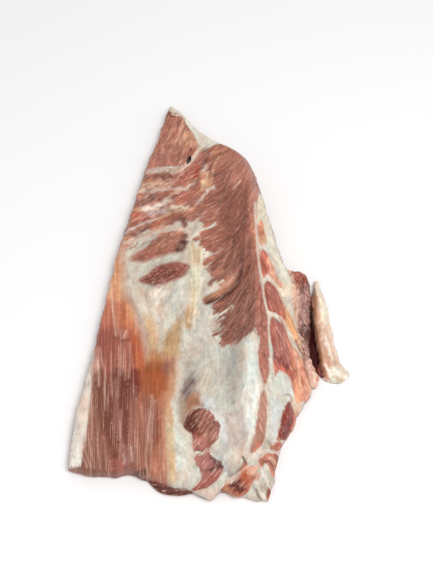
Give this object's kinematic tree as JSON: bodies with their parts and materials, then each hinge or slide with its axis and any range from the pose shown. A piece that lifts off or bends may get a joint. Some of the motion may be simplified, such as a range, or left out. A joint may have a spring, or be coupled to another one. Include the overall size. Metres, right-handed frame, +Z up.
{
  "type": "raw pork spare rib slab",
  "caption": "Raw untrimmed slab of pork spare ribs lying outer side up, with a thin flap, a thick rounded ridge, fat, lean muscle and a side leaf of fat.",
  "frame": {"origin": "on the table under the middle of the slab's bounding box", "axes": "+Y along the slab's length towards its pointed tip, +X towards the thick ridge and the side leaf of fat, +Z up out of the outer side"},
  "size_m": [0.2526, 0.433, 0.0582],
  "materials": {
    "raw_pork": "moist raw pork: matt pink-brown lean with fibres, smooth cream fat, soft wet sheen"
  },
  "bodies": {
    "root": {"spare_ribs": "raw_pork"}
  },
  "joints": []
}
